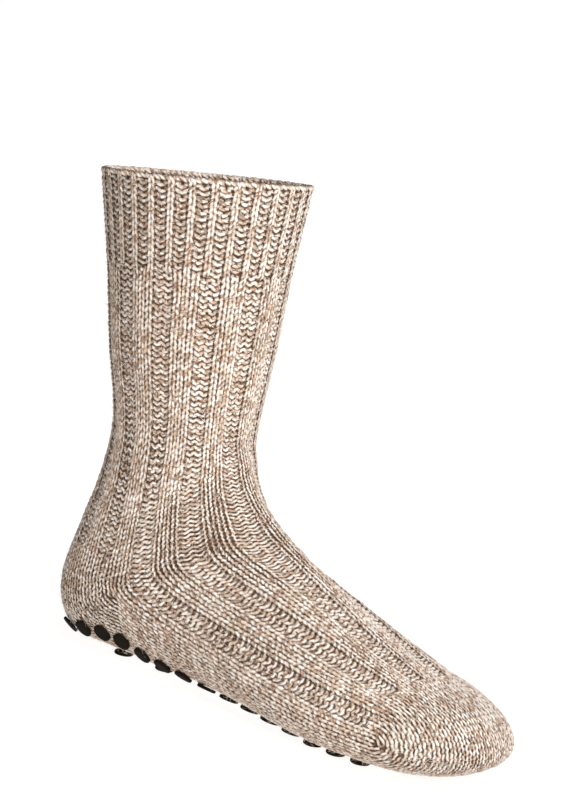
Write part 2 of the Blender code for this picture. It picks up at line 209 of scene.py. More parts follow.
def rounds(course, stitch):
    """Crest surface where the courses go all round; stitch 0 is the front."""
    course, stitch = np.broadcast_arrays(np.asarray(course, float), np.asarray(stitch, float))
    angle = np.angle(np.exp(2j * np.pi * stitch / STITCHES))
    front = np.abs(angle) <= 0.5 * np.pi
    behind = np.where(course <= HEEL_START, course, course + HEEL_COURSES)
    at = np.where(front, ROUND_COURSES - course, behind)
    turn = np.where(front, angle, np.where(angle > 0, np.pi, -np.pi) - angle)
    square = np.where(front, SIDE_TOP(course), SIDE_UNDER(course))
    return half_section(SIDE_X(course), SIDE_Z(course), OUTLINE_X(at), OUTLINE_Z(at),
                        SIDE_HALF(course), square, turn)


def pocket_rows(beside, courses):
    """Courses that a wale has in one half of a pocket, by its place from the side."""
    return 0.5 * courses * np.clip(beside, 0.7, POCKET_TURN) / POCKET_TURN


def heel_fan(share, turn):
    at = HEEL_START + share * HEEL_COURSES
    start = float(HEEL_START)
    return half_section(SIDE_X(start), SIDE_Z(start), OUTLINE_X(at), OUTLINE_Z(at),
                        SIDE_HALF(start), HEEL_SQUARENESS, turn)


def toe_fan(share, turn):
    at = TOE_TURN + (1.0 - share) * TOE_COURSES
    start = float(TOE_START)
    above, below = SIDE_TOP(start), SIDE_UNDER(start)
    square = above + (below - above) * share
    square = square + (TOE_SQUARENESS - 0.5 * (above + below)) * np.sin(np.pi * np.clip(share, 0, 1))
    return half_section(SIDE_X(start), SIDE_Z(start), OUTLINE_X(at), OUTLINE_Z(at),
                        SIDE_HALF(start), square, turn)


def blended(first, second, share):
    return first + (second - first) * share[..., None]


def heel_half(course, stitch, lower):
    """Half of the heel pocket; courses count from the leg, or to the sole."""
    rows = pocket_rows(QUARTER - np.abs(stitch - HALF), HEEL_COURSES)
    share = 0.5 * course / rows
    past = course < 0.0
    beyond = HEEL_START + course
    if lower:
        past = course > HEEL_COURSES / 2
        share = 1.0 - 0.5 * (0.5 * HEEL_COURSES - course) / rows
        beyond = HEEL_START + course - HEEL_COURSES / 2
    fan = heel_fan(np.clip(share, 0.0, 1.0), np.pi - 2.0 * np.pi * stitch / STITCHES)
    return np.where(past[..., None], rounds(beyond, stitch), fan)


def toe_half(course, stitch, lower):
    """Half of the toe pocket; courses count from the instep, or to the sole."""
    rows = pocket_rows(QUARTER - np.abs(stitch), TOE_COURSES)
    share = 0.5 * course / rows
    past = course < 0.0
    beyond = TOE_START + course
    around = stitch
    if lower:
        past = course > TOE_COURSES / 2
        share = 1.0 - 0.5 * (0.5 * TOE_COURSES - course) / rows
        beyond = TOE_START - course + TOE_COURSES / 2
        around = HALF - stitch
    fan = toe_fan(np.clip(share, 0.0, 1.0), 2.0 * np.pi * stitch / STITCHES)
    return np.where(past[..., None], rounds(np.minimum(beyond, TOE_START), around), fan)


def smooth(low, high, at):
    t = np.clip((at - low) / (high - low), 0.0, 1.0)
    return t * t * (3.0 - 2.0 * t)


def leg_place(course, stitch):
    """Full courses of the leg, whose last loops reach into heel and instep."""
    around = np.mod(stitch, STITCHES)
    past = course - HEEL_START
    behind = QUARTER - np.abs(around - HALF)
    heel = heel_half(np.maximum(past, 0.0), around, False)
    return blended(rounds(course, stitch), heel, smooth(0.0, 1.6, behind) * (past > 0))


def foot_place(course, stitch):
    """Full courses of the foot, whose end loops reach into heel and toe."""
    around = np.mod(stitch, STITCHES)
    before = HEEL_START - course
    behind = QUARTER - np.abs(around - HALF)
    heel = heel_half(HEEL_COURSES / 2 - np.maximum(before, 0.0), around, True)
    place = blended(rounds(np.minimum(course, TOE_START), stitch), heel,
                    smooth(0.0, 1.6, behind) * (before > 0))
    past = course - TOE_START
    front = np.where(around > HALF, around - STITCHES, around)
    over = toe_half(np.maximum(past, 0.0), np.clip(front, -QUARTER, QUARTER), False)
    flipped = np.clip(HALF - around, -QUARTER, QUARTER)
    under = toe_half(TOE_COURSES / 2 - np.maximum(past, 0.0), flipped, True)
    toe = np.where((np.abs(front) <= QUARTER)[..., None], over, under)
    return blended(place, toe, smooth(0.0, 1.2, np.abs(QUARTER - np.abs(front))) * (past > 0))


# Rib relief: how far back a stitch lies, by its place in a repeat of five
RELIEF_PLACES = np.array([0.0, 1.0, 1.45, 1.85, 2.5, 3.15, 3.55, 4.0, 5.0])
RELIEF_DEPTHS = np.array([0.0, 0.10, 0.42, 0.93, 1.08, 0.93, 0.42, 0.10, 0.0])
CUFF_RELIEF = 0.85
CUFF_SPREAD = 0.10
RIB_SPREAD = 0.09


def relief(course, stitch):
    """Depth of the knit's middle layer below the crest surface."""
    around = np.mod(stitch, STITCHES)
    leg = np.interp(np.mod(around, 5.0), RELIEF_PLACES, RELIEF_DEPTHS)
    cuff = CUFF_RELIEF * 0.5 * (1.0 - np.cos(np.pi * around))
    blend = smooth(CUFF_COURSES - 0.6, CUFF_COURSES + 0.6, course)
    return RIB_RISE * (cuff * (1.0 - blend) + leg * ribs_left(course, stitch) * blend)


def ribs_left(course, stitch):
    """1 where the leg's ribs run, 0 on the plain back and under the foot."""
    around = np.mod(stitch, STITCHES)
    under = smooth(13.5, 14.8, around) * smooth(13.5, 14.8, STITCHES - around)
    faded = smooth(HEEL_START - PLAIN_BACK_COURSES - 1.5, HEEL_START - PLAIN_BACK_COURSES, course)
    ended = smooth(TOE_START - PLAIN_TOE_COURSES - 1.5, TOE_START - PLAIN_TOE_COURSES, course)
    return (1.0 - faded * under) * (1.0 - ended)


def rib_spread(course, stitch):
    """Sideways pull of the ribs: knit stitches stand narrower than purl ones."""
    blend = smooth(CUFF_COURSES - 1.0, CUFF_COURSES + 1.5, course)
    cuff = -CUFF_SPREAD * np.sin(np.pi * stitch)
    leg = -RIB_SPREAD * np.sin(0.4 * np.pi * stitch) * ribs_left(course, stitch)
    return -(cuff * (1.0 - blend) + leg * blend)


def purl_at(course, stitch):
    """1 where the chart has a purl stitch, else 0."""
    place = np.mod(stitch, STITCHES)
    rib = np.mod(place + 1, 5) >= 3
    under = (place >= QUARTER) & (place <= STITCHES - QUARTER)
    plain_back = under & (course > HEEL_START - PLAIN_BACK_COURSES)
    plain_toe = course > TOE_START - PLAIN_TOE_COURSES
    rib = rib & ~(plain_back | plain_toe)
    return np.where(course < CUFF_COURSES, np.mod(place, 2) == 1, rib).astype(float)


def none_at(course, stitch):
    return np.zeros(np.broadcast(course, stitch).shape)


# Yarn and loops
YARN_HALF_THICK = 0.00088
YARN_HALF_WIDE = 0.00118
YARN_LEAST_HALF = 0.00035
YARN_SHARE_OF_STITCH = 0.265
YARN_SHARE_OF_COURSE = 0.40
YARN_SIDES = 5
LOOP_DEPTH = 0.00082
LOOP_HEIGHT = 0.84
LOOP_SWING = 0.275
LOOP_STEPS = 10
PLY_PITCH = 0.0072

# How much hand-made unevenness each measure of the loops has
SWING_WOBBLE = 0.10
HEIGHT_WOBBLE = 0.06
STITCH_WOBBLE = 0.022
COURSE_WOBBLE = 0.035
LIFT_WOBBLE = 0.00007
THICKNESS_WOBBLE = 0.07
THICKNESS_KNOTS = 40
rng = np.random.default_rng(41)


def wobble(count, size):
    return rng.normal(0.0, size, count)


def course_path(course, first, last, closed, purl):
    """Stitch, course and lift of one course's yarn, loop after loop."""
    stitches = np.arange(first, last + 1)
    n = len(stitches)
    t = np.linspace(-np.pi, np.pi, LOOP_STEPS + 1)[:-1]
    face = 1.0 - 2.0 * purl(course, stitches)
    before = np.roll(face, 1) if closed else np.r_[face[0], face[:-1]]
    after = np.roll(face, -1) if closed else np.r_[face[1:], face[-1]]
    edge = 0.5 * smooth(0.5, 1.0, np.abs(t) / np.pi)[None, :]
    beside = np.where((t < 0)[None, :], before[:, None], after[:, None])
    face = face[:, None] * (1.0 - edge) + beside * edge
    swing = LOOP_SWING * (1.0 + wobble((n, 1), SWING_WOBBLE))
    tall = LOOP_HEIGHT * (1.0 + wobble((n, 1), HEIGHT_WOBBLE))
    s = stitches[:, None] + t[None, :] / (2 * np.pi) + swing * np.sin(2 * t)[None, :]
    s = s + wobble((n, 1), STITCH_WOBBLE)
    c = course + tall * np.cos(t)[None, :] + wobble((n, 1), COURSE_WOBBLE)
    lift = -face * LOOP_DEPTH * np.cos(2 * t)[None, :] + wobble((n, 1), LIFT_WOBBLE)
    return s.ravel(), c.ravel(), lift.ravel()


def soften(values, closed):
    """Averages the joins between loops, where two stitches' shifts meet."""
    if closed:
        return 0.5 * values + 0.25 * (np.roll(values, 1) + np.roll(values, -1))
    out = values.copy()
    out[1:-1] = 0.5 * values[1:-1] + 0.25 * (values[:-2] + values[2:])
    return out


def add_object(name, data):
    item = bpy.data.objects.new(name, data)
    bpy.context.scene.collection.objects.link(item)
    return item


class Tubes:
    """Collects yarn tubes into one mesh with a map along and round the yarn."""

    def __init__(self):
        self.points, self.faces, self.maps, self.depths = [], [], [], []
        self.count = 0
        self.along = 0.0

    def add(self, centre, normal, closed, wide, thick, depth):
        n = len(centre)
        if closed:
            tangent = np.roll(centre, -1, axis=0) - np.roll(centre, 1, axis=0)
        else:
            tangent = np.gradient(centre, axis=0)
        tangent /= np.linalg.norm(tangent, axis=1, keepdims=True)
        side = np.cross(tangent, normal)
        side /= np.linalg.norm(side, axis=1, keepdims=True)
        out = np.cross(side, tangent)
        angle = 2 * np.pi * np.arange(YARN_SIDES) / YARN_SIDES
        ring = (centre[:, None, :]
                + wide[:, None, None] * np.cos(angle)[None, :, None] * side[:, None, :]
                + thick[:, None, None] * np.sin(angle)[None, :, None] * out[:, None, :])
        step = np.linalg.norm(np.diff(centre, axis=0), axis=1)
        if closed:
            step = np.r_[step, np.linalg.norm(centre[0] - centre[-1])]
        u = (self.along + np.r_[0.0, np.cumsum(step)]) / PLY_PITCH
        self.along += float(step.sum()) + rng.uniform(0.0, 0.02)
        spans = n if closed else n - 1
        i = np.arange(spans)[:, None]
        j = np.arange(YARN_SIDES)[None, :]
        i2, j2 = (i + 1) % n, (j + 1) % YARN_SIDES
        base = self.count
        quads = np.stack([i * YARN_SIDES + j, i * YARN_SIDES + j2,
                          i2 * YARN_SIDES + j2, i2 * YARN_SIDES + j], axis=-1) + base
        u_near = np.broadcast_to(u[:spans, None], (spans, YARN_SIDES))
        u_far = np.broadcast_to(u[1:spans + 1, None], (spans, YARN_SIDES))
        v_near = np.broadcast_to(j / YARN_SIDES, (spans, YARN_SIDES))
        v_far = v_near + 1.0 / YARN_SIDES
        maps = np.stack([np.stack([u_near, v_near], -1), np.stack([u_near, v_far], -1),
                         np.stack([u_far, v_far], -1), np.stack([u_far, v_near], -1)], axis=2)
        self.points.append(ring.reshape(-1, 3))
        self.depths.append((depth[:, None] - (thick[:, None] * np.sin(angle)[None, :])).ravel())
        self.faces += quads.reshape(-1, 4).tolist()
        self.maps.append(maps.reshape(-1, 2))
        self.count += n * YARN_SIDES
        if not closed:
            for end, order in ((0, 1), (n - 1, -1)):
                corners = [base + end * YARN_SIDES + k for k in range(YARN_SIDES)][::order]
                self.faces.append(corners)
                self.maps.append(np.full((YARN_SIDES, 2), u[min(end, len(u) - 1)]))

    def piece(self, name, material):
        mesh = bpy.data.meshes.new(name)
        mesh.from_pydata(np.vstack(self.points), [], self.faces)
        layer = mesh.uv_layers.new(name="yarn")
        layer.data.foreach_set("uv", np.vstack(self.maps).astype(np.float32).ravel())
        # Each point's depth below the crest, in mm, for the wool's painted recess shade
        deep = mesh.attributes.new("depth", "FLOAT", "POINT")
        deep.data.foreach_set("value", (1000.0 * np.concatenate(self.depths)).astype(np.float32))
        mesh.shade_smooth()
        mesh.materials.append(material)
        return add_object(name, mesh)


# Half the distance, in courses and stitches, over which a slope is measured
SLOPE_STEP = 0.05
# How much of the rib's relief counts as depth for the yarn's painted recess shade
RELIEF_SHADE = 0.35


def slopes(place, course, stitch):
    """How a surface runs by course and by stitch, and its outward normal."""
    by_course = place(course + SLOPE_STEP, stitch) - place(course - SLOPE_STEP, stitch)
    by_stitch = place(course, stitch + SLOPE_STEP) - place(course, stitch - SLOPE_STEP)
    normal = np.cross(by_course, by_stitch)
    normal /= np.maximum(np.linalg.norm(normal, axis=1, keepdims=True), 1e-12)
    return by_course, by_stitch, normal


def lay(tubes, place, s, c, lift, closed, relief_course=None, slim=1.0):
    """Lays one course's yarn on the sock's surface."""
    charted = c if relief_course is None else relief_course + 0 * c
    depth = relief(charted, s)
    s = s - rib_spread(charted, s)
    by_course, by_stitch, normal = slopes(place, c, s)
    middle = YARN_HALF_THICK + LOOP_DEPTH
    centre = place(c, s) + normal * (lift - middle - depth)[:, None]
    centre = np.stack([soften(centre[:, k], closed) for k in range(3)], axis=1)
    gauge = np.linalg.norm(by_stitch, axis=1) / (2 * SLOPE_STEP)
    pitch = np.linalg.norm(by_course, axis=1) / (2 * SLOPE_STEP)
    beside = np.minimum(YARN_HALF_WIDE, YARN_SHARE_OF_STITCH * gauge)
    above = np.maximum(YARN_SHARE_OF_COURSE * pitch, YARN_LEAST_HALF)
    wide = slim * np.minimum(beside, above)
    knots = np.linspace(0, len(s), THICKNESS_KNOTS)
    uneven = np.interp(np.arange(len(s)), knots, wobble(THICKNESS_KNOTS, 1.0))
    uneven = 1.0 + THICKNESS_WOBBLE * uneven
    tubes.add(centre, normal, closed, wide * uneven, YARN_HALF_THICK * uneven,
              middle - RELIEF_SHADE * depth - lift)


def knit_rounds(name, place, courses, purl, material):
    tubes = Tubes()
    for course in courses:
        s, c, lift = course_path(course, 0, STITCHES - 1, True, purl)
        lay(tubes, place, s, c, lift, True)
    return tubes.piece(name, material)


# The pockets' yarn: how slim it is, and how its ends tuck in at the turns
POCKET_SLIM_UPPER = 0.86
POCKET_SLIM_LOWER = 0.76
POCKET_TUCK = 0.0012
POCKET_TUCK_STEPS = 3


def knit_pocket(name, half, middle, courses, plain_course, material):
    """Short courses of a heel or toe, one narrower each turn and then wider."""
    tubes = Tubes()
    rows = courses // 2
    for lower in (False, True):

        def place(cc, ss, lower=lower):
            return half(cc, ss, lower)

        slim = POCKET_SLIM_LOWER if lower else POCKET_SLIM_UPPER
        for row in range(rows):
            course = row + 0.5
            narrow = course if not lower else rows - course
            width = int(math.floor(QUARTER - narrow * POCKET_TURN / rows))
            s, c, lift = course_path(course, middle - width, middle + width, False, none_at)
            ends = np.minimum(np.arange(len(s)), np.arange(len(s))[::-1])
            lift = lift - POCKET_TUCK * (1.0 - smooth(0, POCKET_TUCK_STEPS, ends))
            lay(tubes, place, s, c, lift, False, plain_course, slim)
    return tubes.piece(name, material)


def node(tree, kind, **values):
    made = tree.nodes.new(kind)
    for key, value in values.items():
        setattr(made, key, value)
    return made


def maths(tree, operation, first, second=None):
    """A maths node; its inputs are numbers or sockets."""
    made = node(tree, "ShaderNodeMath", operation=operation)
    for index, value in enumerate((first, second)):
        if value is None:
            continue
        if isinstance(value, (int, float)):
            made.inputs[index].default_value = value
        else:
            tree.links.new(value, made.inputs[index])
    return made.outputs[0]


def spread(tree, value, low, high, to_low, to_high):
    """Maps a value from one range to another, held at its ends."""
    made = node(tree, "ShaderNodeMapRange")
    ends = {"From Min": low, "From Max": high, "To Min": to_low, "To Max": to_high}
    for key, number in ends.items():
        made.inputs[key].default_value = number
    tree.links.new(value, made.inputs["Value"])
    return made.outputs[0]


def mixed(tree, first, second, factor, blend="MIX"):
    """A colour mix; colours and factor are values or sockets."""
    made = node(tree, "ShaderNodeMix", data_type="RGBA", blend_type=blend)
    for key, value in (("A", first), ("B", second), ("Factor", factor)):
        socket = made.inputs[key]
        if isinstance(value, tuple):
            socket.default_value = (*value, 1.0)
        elif isinstance(value, float):
            socket.default_value = value
        else:
            tree.links.new(value, socket)
    return made.outputs["Result"]


def along_noise(tree, place, scale, detail=2.0):
    """Noise that varies along the yarn only, so no two rows look alike."""
    made = node(tree, "ShaderNodeTexNoise", noise_dimensions="1D")
    made.inputs["Scale"].default_value = scale
    made.inputs["Detail"].default_value = detail
    tree.links.new(place, made.inputs["W"])
    return made.outputs["Fac"]


def noise(tree, vector, scale, detail):
    made = node(tree, "ShaderNodeTexNoise")
    made.inputs["Scale"].default_value = scale
    made.inputs["Detail"].default_value = detail
    tree.links.new(vector, made.inputs["Vector"])
    return made.outputs["Fac"]


def toned(tree, shader, factor, dark, light):
    """Base colour between two stops, each a place and a colour."""
    tone = node(tree, "ShaderNodeValToRGB")
    for element, (place, colour) in zip(tone.color_ramp.elements, (dark, light)):
        element.position = place
        element.color = (*colour, 1.0)
    tree.links.new(factor, tone.inputs["Fac"])
    tree.links.new(tone.outputs["Color"], shader.inputs["Base Color"])


def bumped(tree, shader, height, strength, distance):
    bump = node(tree, "ShaderNodeBump")
    bump.inputs["Strength"].default_value = strength
    bump.inputs["Distance"].default_value = distance
    tree.links.new(height, bump.inputs["Height"])
    tree.links.new(bump.outputs["Normal"], shader.inputs["Normal"])


def new_material(name, values):
    """A material with the given shader values, with its tree and shader."""
    made = bpy.data.materials.new(name)
    made.use_nodes = True
    shader = made.node_tree.nodes["Principled BSDF"]
    for key, value in values.items():
        shader.inputs[key].default_value = value
    return made, made.node_tree, shader


WHITE = (1.0, 1.0, 1.0)
CREAM = (0.74, 0.62, 0.52)
PALE = (0.82, 0.74, 0.675)
BEIGE = (0.54, 0.385, 0.275)
BROWN = (0.31, 0.18, 0.11)
FLANK_SHADE = (0.08, 0.038, 0.018)
GAP_SHADE = (0.10, 0.058, 0.034)
WOOL_SURFACE = {
    "Roughness": 0.95,
    "Specular IOR Level": 0.15,
    "Sheen Weight": 0.18,
    "Sheen Roughness": 0.5,
    "Sheen Tint": (1.0, 0.97, 0.93, 1.0),
}


def wool_material(name):
    """Marled yarn: twisted plies of cream, beige and brown wool."""
    made, tree, shader = new_material(name, WOOL_SURFACE)
    uv = node(tree, "ShaderNodeUVMap", uv_map="yarn")
    split = node(tree, "ShaderNodeSeparateXYZ")
    tree.links.new(uv.outputs["UV"], split.inputs[0])
    along, around = split.outputs["X"], split.outputs["Y"]

    # Three plies twisted together, each with wool dyed unevenly along it
    drift = along_noise(tree, along, 1.4)
    even = maths(tree, "ADD", along, around)
    twist = maths(tree, "ADD", even, maths(tree, "MULTIPLY", drift, 1.3))
    phase = maths(tree, "FRACT", twist)
    shade = along_noise(tree, along, 1.8, 3.0)
    dyed = along_noise(tree, maths(tree, "ADD", along, 71.3), 1.1, 3.0)
    light_ply = mixed(tree, CREAM, PALE, spread(tree, shade, 0.40, 0.62, 0.0, 1.0))
    mid_ply = mixed(tree, BEIGE, CREAM, spread(tree, dyed, 0.42, 0.60, 0.0, 1.0))
    dark_ply = mixed(tree, BROWN, BEIGE, spread(tree, shade, 0.45, 0.64, 0.0, 1.0))
    second = spread(tree, phase, 0.32, 0.46, 0.0, 1.0)
    third = spread(tree, phase, 0.64, 0.76, 0.0, 1.0)
    last = spread(tree, phase, 0.90, 1.0, 0.0, 1.0)
    plies = mixed(tree, mixed(tree, light_ply, mid_ply, second), dark_ply, third)
    plies = mixed(tree, plies, light_ply, last)

    # Fine fibres along the twist
    fine = node(tree, "ShaderNodeCombineXYZ")
    tree.links.new(maths(tree, "MULTIPLY", along, 3.2), fine.inputs["X"])
    tree.links.new(maths(tree, "MULTIPLY", phase, 13.0), fine.inputs["Y"])
    fibre = noise(tree, fine.outputs[0], 2.4, 4.0)
    streak = spread(tree, fibre, 0.3, 0.7, 0.70, 1.12)
    colour = mixed(tree, plies, streak, 1.0, "MULTIPLY")

    # Painted shade: the yarn's flanks get a darker colour for the shade of its neighbours; its front
    # and back stay light
    outward = maths(tree, "SINE", maths(tree, "MULTIPLY", around, 2.0 * math.pi))
    facing = maths(tree, "ABSOLUTE", outward)
    painted_flank_shade = mixed(tree, FLANK_SHADE, WHITE, spread(tree, facing, 0.25, 0.98, 0.0, 1.0))
    colour = mixed(tree, colour, painted_flank_shade, 1.0, "MULTIPLY")
    # Painted shade in the recesses: the outward half of the yarn darkens towards GAP_SHADE with its
    # depth below the crest
    deep = node(tree, "ShaderNodeAttribute", attribute_name="depth")
    recess_shade_amount = maths(tree, "MULTIPLY", spread(tree, deep.outputs["Fac"], 0.25, 1.9, 0.0, 1.0),
                    spread(tree, outward, -0.3, 0.1, 0.0, 1.0))
    painted_recess_shade = mixed(tree, WHITE, GAP_SHADE, recess_shade_amount)
    colour = mixed(tree, colour, painted_recess_shade, 1.0, "MULTIPLY")
    tree.links.new(colour, shader.inputs["Base Color"])

    # Grooves between the plies, and fibres, as bump
    plies_round = maths(tree, "SINE", maths(tree, "MULTIPLY", twist, 3.0 * math.pi))
    height = maths(tree, "ADD", maths(tree, "ABSOLUTE", plies_round), fibre)
    bumped(tree, shader, height, 0.8, 0.0003)
    return made


def gap_shade_material():
    """Painted shade: very dark wool colour, with a grain, for the gaps behind the loops."""
    made, tree, shader = new_material("wool_gap_shade", {"Roughness": 1.0, "Specular IOR Level": 0.05})
    grain = noise(tree, node(tree, "ShaderNodeTexCoord").outputs["Object"], 900.0, 3.0)
    toned(tree, shader, grain, (0.35, (0.045, 0.024, 0.014)), (0.70, (0.14, 0.085, 0.055)))
    bumped(tree, shader, grain, 0.8, 0.0004)
    return made


def rubber_material():
    """Matt black rubber, a little warm and grainy."""
    made, tree, shader = new_material("grip_rubber_matt", {"Specular IOR Level": 0.03})
    grain = noise(tree, node(tree, "ShaderNodeTexCoord").outputs["Object"], 700.0, 4.0)
    toned(tree, shader, grain, (0.0, (0.0040, 0.0030, 0.0018)), (1.0, (0.0130, 0.0098, 0.0062)))
    rough = spread(tree, grain, 0.0, 1.0, 0.60, 0.85)
    tree.links.new(rough, shader.inputs["Roughness"])
    bumped(tree, shader, grain, 0.5, 0.0002)
    return made


def own(item):
    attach(item, "root")
    return item


def cast_on(material):
    """Two strands twisted round the collar's first loops."""
    tubes = Tubes()
    s = np.arange(0.0, STITCHES, 0.1)
    for strand in (0.0, math.pi):
        swing = 2.0 * math.pi * s + strand
        c = -0.02 + 0.20 * np.sin(swing) + 0.03 * np.sin(0.7 * s + strand)
        lift = 0.0007 * np.cos(swing)
        lay(tubes, leg_place, s, c, lift, True)
    return tubes.piece("cast_on_edge", material)


# Loose fibres: how many, and one pocket half's share of them
FUZZ_FIBRES = 8000
FUZZ_POCKET_SHARE = 12
FUZZ_POCKETS = (
    {"half": heel_half, "lower": False, "courses": (0, 13), "stitches": (17, 43)},
    {"half": heel_half, "lower": True, "courses": (0, 13), "stitches": (17, 43)},
    {"half": toe_half, "lower": False, "courses": (0, 14), "stitches": (-13, 13)},
    {"half": toe_half, "lower": True, "courses": (0, 14), "stitches": (-13, 13)},
)
FIBRE_ROOT = (0.0001, 0.0008)
FIBRE_LENGTH = (0.0016, 0.0046)
FIBRE_RISE = (0.10, 0.55)
FIBRE_ARCH = 2.2
FIBRE_CURL = 0.45
FIBRE_HALF_WIDE = 0.000045
FIBRE_SHARES = (0.0, 0.33, 0.67, 1.0)
FIBRE_POINTS = 2 * len(FIBRE_SHARES)
# A fibre with a point this near to a dot's middle is left out, so that none
# comes through the rubber
FUZZ_CLEAR_OF_DOT = 0.0056
DOT_NAMES = sorted(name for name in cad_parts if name.startswith("grip_dot"))
DOT_MIDDLES = np.array([np.mean(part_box(name), axis=0) for name in DOT_NAMES])


def leg_or_foot(course, stitch):
    """The full courses of leg and foot as one surface."""
    past = foot_place(np.maximum(course, HEEL_START), stitch)
    return np.where((course > HEEL_START)[:, None], past, leg_place(course, stitch))


def fuzz_roots(count):
    """Surface, surface for its normal, courses and stitches of the fibres."""
    courses = rng.uniform(0.3, TOE_START - 0.5, count)
    stitches = rng.uniform(0.0, STITCHES, count)
    roots = [(leg_or_foot, rounds, courses, stitches)]
    for row in FUZZ_POCKETS:

        def pocket(course, stitch, row=row):
            return row["half"](course, stitch, row["lower"])

        courses = rng.uniform(*row["courses"], count // FUZZ_POCKET_SHARE)
        stitches = rng.uniform(*row["stitches"], count // FUZZ_POCKET_SHARE)
        roots.append((pocket, pocket, courses, stitches))
    return roots


def fuzz(count):
    """Loose fibres that stand off the yarn, each a narrow bent strip."""
    points, faces = [], []
    start = 0
    for place, even, c, s in fuzz_roots(count):
        normal = slopes(even, c, s)[2]
        n = len(c)
        root = place(c, s) - normal * rng.uniform(*FIBRE_ROOT, n)[:, None]
        aside = np.cross(normal, rng.normal(size=(n, 3)))
        aside /= np.linalg.norm(aside, axis=1, keepdims=True)
        turn = np.cross(normal, aside)
        length = rng.uniform(*FIBRE_LENGTH, n)[:, None]
        rise = rng.uniform(*FIBRE_RISE, n)[:, None]
        curl = rng.normal(0.0, FIBRE_CURL, n)[:, None]
        rows = []
        for share in FIBRE_SHARES:
            middle = (root + aside * length * share + turn * length * curl * share ** 2
                      + normal * length * rise * math.sin(FIBRE_ARCH * share))
            rows.append(np.stack([middle - turn * FIBRE_HALF_WIDE,
                                  middle + turn * FIBRE_HALF_WIDE], axis=1))
        block = np.stack(rows, axis=1).reshape(n, FIBRE_POINTS, 3)
        apart = np.linalg.norm(block[:, :, None] - DOT_MIDDLES, axis=3).min(axis=(1, 2))
        block = block[apart > FUZZ_CLEAR_OF_DOT]
        points.append(block.reshape(-1, 3))
        base = start + np.arange(len(block))[:, None] * FIBRE_POINTS
        for k in range(len(FIBRE_SHARES) - 1):
            faces.append(base + np.array([[2 * k, 2 * k + 1, 2 * k + 3, 2 * k + 2]]))
        start += len(block) * FIBRE_POINTS
    mesh = bpy.data.meshes.new("wool_fuzz")
    mesh.from_pydata(np.vstack(points), [], np.vstack(faces).tolist())
    values = {"Base Color": (0.80, 0.72, 0.63, 1.0), "Roughness": 0.8}
    mesh.materials.append(new_material("wool_fibre", values)[0])
    own(add_object("wool_fuzz", mesh))


# The knit's pieces, each a band of full courses
LEG_SPLIT = CUFF_COURSES + LEG_COURSES // 2
FOOT_SPLIT = HEEL_START + FOOT_COURSES // 2
BANDS = (
    {"name": "knit_cuff", "place": leg_place, "first": 0, "end": CUFF_COURSES},
    {"name": "knit_leg_upper", "place": leg_place, "first": CUFF_COURSES, "end": LEG_SPLIT},
    {"name": "knit_leg_lower", "place": leg_place, "first": LEG_SPLIT, "end": HEEL_START},
    {"name": "knit_foot_rear", "place": foot_place, "first": HEEL_START, "end": FOOT_SPLIT},
    {"name": "knit_foot_front", "place": foot_place, "first": FOOT_SPLIT, "end": TOE_START},
)
# The pockets have no relief: their relief is read this far into the plain knit
PLAIN_AHEAD = 30.0


def knit(wool):
    pieces = []
    for band in BANDS:
        courses = np.arange(band["first"] + 0.5, band["end"])
        pieces.append(knit_rounds(band["name"], band["place"], courses, purl_at, wool))
    pieces.append(knit_pocket("knit_heel", heel_half, STITCHES // 2, HEEL_COURSES,
                              HEEL_START + PLAIN_AHEAD, wool))
    pieces.append(knit_pocket("knit_toe", toe_half, 0, TOE_COURSES, TOE_START + PLAIN_AHEAD, wool))
    pieces.append(cast_on(wool))
    for piece in pieces:
        own(piece)
        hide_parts("knitted_sock")


knit(wool_material("marled_yarn"))


# The layer behind the loops: its two faces below the crest, and the side stitches
BACKING_NEAR = 0.0015
BACKING_FAR = 0.0021
FAN_STEPS = 20
SIDE = STITCHES // 4
OTHER_SIDE = STITCHES - SIDE


